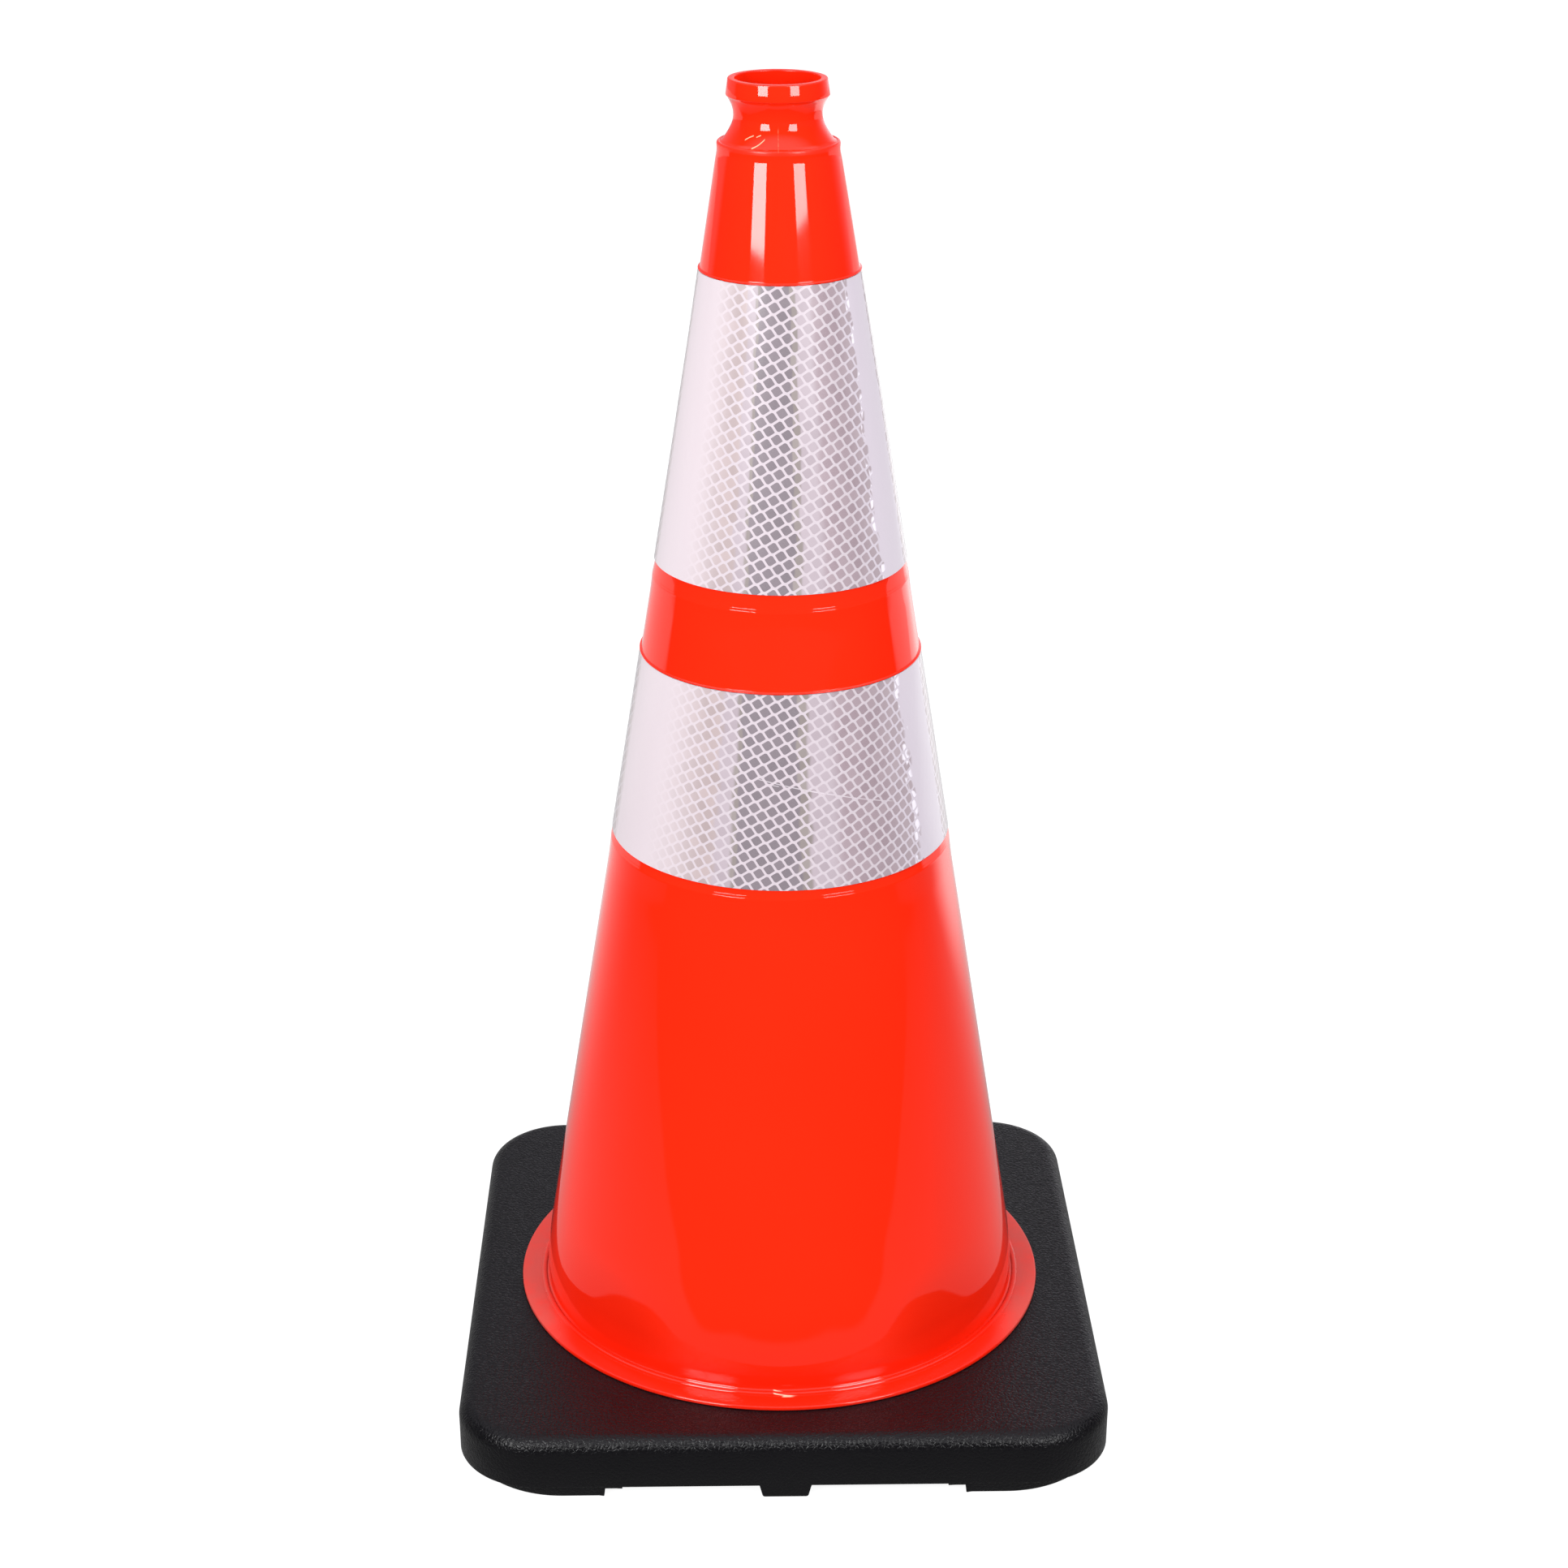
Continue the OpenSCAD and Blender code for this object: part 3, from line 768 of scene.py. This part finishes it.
def slab_mesh():
    """The slab as rings: up its hole, over its top and round edge, and back along its underside."""
    count = 720
    angle = (np.arange(count) + 0.5)*2*np.pi/count
    hole, lock = THROAT_R + 0.1, LOCK_R + 0.1
    recess_z = FOOT_H + LOCK_T + 0.1
    side_z = BASE_TOP - EDGE_R

    def circle(r, z):
        return np.stack([r*np.cos(angle), r*np.sin(angle), np.full(count, z)], -1)

    def square(inset, z):
        r = square_radius(angle, HALF - inset, CORNER_R - inset)
        return circle(r, z)

    rings = [circle(hole, recess_z), circle(hole, BASE_TOP - 0.5), circle(hole + 0.5, BASE_TOP)]
    inner, outer = rings[-1], square(EDGE_R, BASE_TOP)
    for t in (0.2, 0.4, 0.6, 0.8):
        rings.append(inner + (outer - inner)*t - (0, 0, 0.12*math.sin(math.pi*t)))
    for a in np.radians(np.linspace(90, 0, 13)):
        rings.append(square(EDGE_R*(1 - math.cos(a)), side_z + EDGE_R*math.sin(a)))
    rings += [square(0.1, side_z - 7), square(0.15, FOOT_H + 0.8), square(0.4, FOOT_H + 0.25)]
    outer, inner = square(0.9, FOOT_H), circle(lock + 0.3, FOOT_H)
    rings += [outer + (inner - outer)*t for t in (0, 0.33, 0.66, 1)]
    rings += [circle(lock, FOOT_H + 0.3), circle(lock, recess_z)]
    n = len(rings)
    i, j = np.meshgrid(np.arange(n), np.arange(count), indexing="ij")
    i2, j2 = (i + 1) % n, (j + 1) % count
    faces = np.stack([i*count + j, i*count + j2, i2*count + j2, i2*count + j], -1).reshape(-1, 4)
    return np.concatenate(rings), faces


def prism_solid(outline, z0, z1, inset, round_r):
    """A block over a closed plan outline, a little smaller at its foot and with rounded lower edges."""
    pts = np.asarray(outline, float)
    along = np.roll(pts, -1, 0) - np.roll(pts, 1, 0)
    along /= np.linalg.norm(along, axis=1)[:, None]
    inward = np.stack([-along[:, 1], along[:, 0]], -1)
    rings = [(0.0, z1), (inset, z0 + round_r)]
    for a in np.radians([30, 60, 90]):
        rings.append((inset + round_r*(1 - math.cos(a)), z0 + round_r*(1 - math.sin(a))))
    verts = np.concatenate([np.column_stack([pts + inward*d, np.full(len(pts), z)]) for d, z in rings])
    m, k = len(pts), len(rings)
    faces = [[r*m + i, r*m + (i + 1) % m, (r + 1)*m + (i + 1) % m, (r + 1)*m + i]
             for r in range(k - 1) for i in range(m)]
    faces += [list(range(m))[::-1], [(k - 1)*m + i for i in range(m)]]
    return verts, faces


def corner_foot(start, z0, inset, round_r):
    """A corner foot from this distance out of the middle line, its inner side clear of the lock flange."""
    half = HALF - 1.5
    k = half - FOOT_CORNER_R
    a = math.degrees(math.acos(start/LOCK_CLEAR_R))
    plan = [(half, start)] + arc(k, k, FOOT_CORNER_R, 0, 90, 24) + [(start, half)]
    plan += arc(0, 0, LOCK_CLEAR_R, a, 90 - a, 13)
    return prism_solid(refine(plan, 4), z0, FOOT_H + 1.5, inset, round_r)


def mid_foot():
    """The drafted foot in the middle of the front: its outline from the front, drawn back into the base."""
    w, edge = MID_FOOT_HALF, 1.6
    root = w + MID_FOOT_DRAFT
    outline = (arc(w - edge, edge, edge, -90, -10, 6) + [(root, FOOT_H + 1.5), (-root, FOOT_H + 1.5)]
               + arc(edge - w, edge, edge, 190, 270, 6))
    verts, faces = prism_solid(outline, -HALF + 0.3, -HALF + 25, 0.0, 0.9)
    return verts[:, [0, 2, 1]], faces


def turned(points, quarter):
    """The points turned about Z by this many quarter turns."""
    c, s = [(1, 0), (0, 1), (-1, 0), (0, -1)][quarter]
    x, y, z = points.T
    return np.stack([x*c - y*s, x*s + y*c, z], -1)


def add_block(base, name, verts, faces):
    """Joins a solid block to the base with a union."""
    block = new_object(name, verts, faces, base.data.materials)
    bm = bmesh.new()
    bm.from_mesh(block.data)
    bmesh.ops.recalc_face_normals(bm, faces=bm.faces[:])
    bm.to_mesh(block.data)
    bm.free()
    union = base.modifiers.new("union", "BOOLEAN")
    union.operation, union.solver, union.object = "UNION", "EXACT", block
    graph = bpy.context.evaluated_depsgraph_get()
    mesh = bpy.data.meshes.new_from_object(base.evaluated_get(graph))
    base.modifiers.clear()
    base.data = mesh
    bpy.data.objects.remove(block)


def build_base():
    base = new_object("base_molding", *slab_mesh(), [black_material()])
    feet = [corner_foot(FOOT_START, 0.0, 1.2, 1.2), corner_foot(LEDGE_START, FOOT_H - 2.0, 0.6, 0.6),
            mid_foot()]
    for quarter in range(4):
        for number, (verts, faces) in enumerate(feet):
            add_block(base, "foot_%d" % (3*quarter + number), turned(verts, quarter), faces)
    base.data.polygons.foreach_set("use_smooth", np.ones(len(base.data.polygons), bool))
    sharpen(base, 38)
    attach(base, "root")
    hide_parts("base")


build_base()


# ---------------------------------------------------------------- floor, light and camera
FILL = 0.36        # even light from all round, for matt surfaces only


def floor_material():
    """Pale paper. The object sees its front edge and its fall-off to the sides, the viewer sees it even."""
    n = Nodes("pale_floor")
    x, y = n.coords()[1:3]
    path = n.add("ShaderNodeLightPath")
    paper = n.add("ShaderNodeBsdfDiffuse")
    paper.inputs[0].default_value = (0.20, 0.20, 0.20, 1)
    glow = n.add("ShaderNodeEmission")
    glow.inputs[1].default_value = 0.92
    seen = n.add("ShaderNodeAddShader")
    n.link(paper.outputs[0], seen.inputs[0])
    n.link(glow.outputs[0], seen.inputs[1])

    # what the object sees: bright in the middle, more so behind it, and none past the sides
    wide = n.size(x)
    near = n.times(n.range(wide, 250.0, 1350.0, 0.40, 0.07, "LINEAR"),
                   n.range(y, -380.0, 100.0, 0.62, 1.0), n.range(y, 150.0, 750.0, 1.0, 2.2))
    near = n.plus(near, n.times(n.range(y, 380.0, 620.0, 0.0, 1.1), n.range(x, 250.0, 750.0)))
    near = n.times(near, n.range(wide, 1300.0, 1420.0, 1.0, 0.0))

    # the paper's front edge, nearer to the object at the sides, and a strip of light far behind
    edge = n.plus(n.range(wide, 650.0, 1350.0, -380.0, -255.0),
                  n.times(n.range(wide, 110.0, 220.0, 0.0, 62.0), n.range(wide, 240.0, 430.0, 1.0, 0.0)))
    level = n.times(near, n.range(n.math("SUBTRACT", y, edge), -12.0, 12.0, 0.02, 1.0))
    far = n.times(n.range(n.math("DIVIDE", y, wide), 0.24, 0.30), n.range(y, 450.0, 900.0, 0.0, 0.72))
    level = n.plus(n.largest(level, far), n.times(path.outputs["Is Diffuse Ray"], FILL))

    # painted shadow: the floor inside the hollow cone stays dark
    open_air = n.range(n.vmath("LENGTH", n.combine(x, y, 0.0)), 120.0, THROAT_R)
    mirror = n.add("ShaderNodeEmission")
    n.link(n.times(level, open_air), mirror.inputs[1])
    return n.finish(n.mix_shader(path.outputs["Is Camera Ray"], mirror.outputs[0], seen.outputs[0]))


def studio_world():
    """White behind the object for the eye. The object sees a white backdrop there and a dim room in front."""
    n = Nodes("studio", world=True)
    path = n.add("ShaderNodeLightPath")
    x, y, z = n.split(n.add("ShaderNodeTexCoord").outputs["Generated"])
    turn = n.math("ARCTAN2", n.size(x), n.math("MULTIPLY", y, -1.0))        # 0 in front, pi behind

    # the backdrop, low down: an even wall on the left and a brighter one on the right
    to_right = n.range(x, -0.3, 0.3)
    left = n.times(n.range(turn, math.radians(106), math.radians(118), 0.02, 0.34),
                   n.math("SUBTRACT", 1.0, to_right))
    right = n.times(n.range(turn, math.radians(103), math.radians(160), 0.04, 1.2), to_right)
    wall = n.times(n.plus(left, right), n.range(z, 0.10, 0.42, 1.0, 0.0))
    wall = n.plus(wall, n.times(n.range(turn, 1.6, 2.6, 0.0, 0.27), n.range(z, 0.1, 0.4)))
    ceiling = n.range(z, 0.62, 0.85, 0.0, 1.1)
    fill = n.plus(n.range(x, -0.4, -0.95, 0.0, 0.38), n.range(x, 0.4, 0.95, FILL, FILL + 0.30))
    room = n.add("ShaderNodeBackground")
    room.inputs[0].default_value = (0.95, 0.93, 1.0, 1)
    n.link(n.plus(n.largest(wall, ceiling), n.times(path.outputs["Is Diffuse Ray"], fill)), room.inputs[1])
    white = n.add("ShaderNodeBackground")
    white.inputs[0].default_value = (1, 1, 1, 1)
    return n.finish(n.mix_shader(path.outputs["Is Camera Ray"], room.outputs[0], white.outputs[0]))


def soft_box(name, azimuth, height, wide, radiance, roll):
    """A rectangular lamp that faces the object. Azimuth 0 is in front, towards -Y, and grows towards +X."""
    distance, tall, aim_z = 1.6, 0.80, 0.45
    data = bpy.data.lights.new(name, "AREA")
    data.shape, data.size, data.size_y = "RECTANGLE", wide, tall
    data.energy = radiance*math.pi*wide*tall
    lamp = bpy.data.objects.new(name, data)
    a = math.radians(azimuth)
    lamp.location = (distance*math.sin(a), -distance*math.cos(a), height)
    aim = (Vector((0, 0, aim_z)) - lamp.location).to_track_quat("-Z", "Y").to_matrix()
    lamp.rotation_euler = (aim @ Matrix.Rotation(roll, 3, "Z")).to_euler()
    bpy.context.scene.collection.objects.link(lamp)


def build_floor():
    far = 6000
    floor = new_object("floor", [(-far, -far, 0), (far, -far, 0), (far, far, 0), (-far, far, 0)],
                       [(0, 1, 2, 3)], [floor_material()], smooth=False)


def add_camera():
    """The photograph's view: from above the middle of the front, with a long lens."""
    place = (-0.0303, -1.5030, 0.9559)
    pitch, heading, roll = 0.3929, -0.0215, 0.0022
    data = bpy.data.cameras.new("camera")
    data.lens, data.sensor_width = 69.91, 36.0
    data.clip_start, data.clip_end = 0.05, 50.0
    camera = bpy.data.objects.new("camera", data)
    turn = (Matrix.Rotation(heading, 4, "Z") @ Matrix.Rotation(math.pi/2 - pitch, 4, "X")
            @ Matrix.Rotation(roll, 4, "Z"))
    camera.matrix_world = Matrix.Translation(place) @ turn
    bpy.context.scene.collection.objects.link(camera)
    bpy.context.scene.camera = camera


build_floor()
bpy.context.scene.world = studio_world()
soft_box("key_left", -34.5, 1.142, 0.64, 15.0, 0.043)
soft_box("key_right", 37.5, 1.184, 0.60, 12.0, -0.024)
add_camera()
bpy.context.scene.view_settings.view_transform = "Standard"
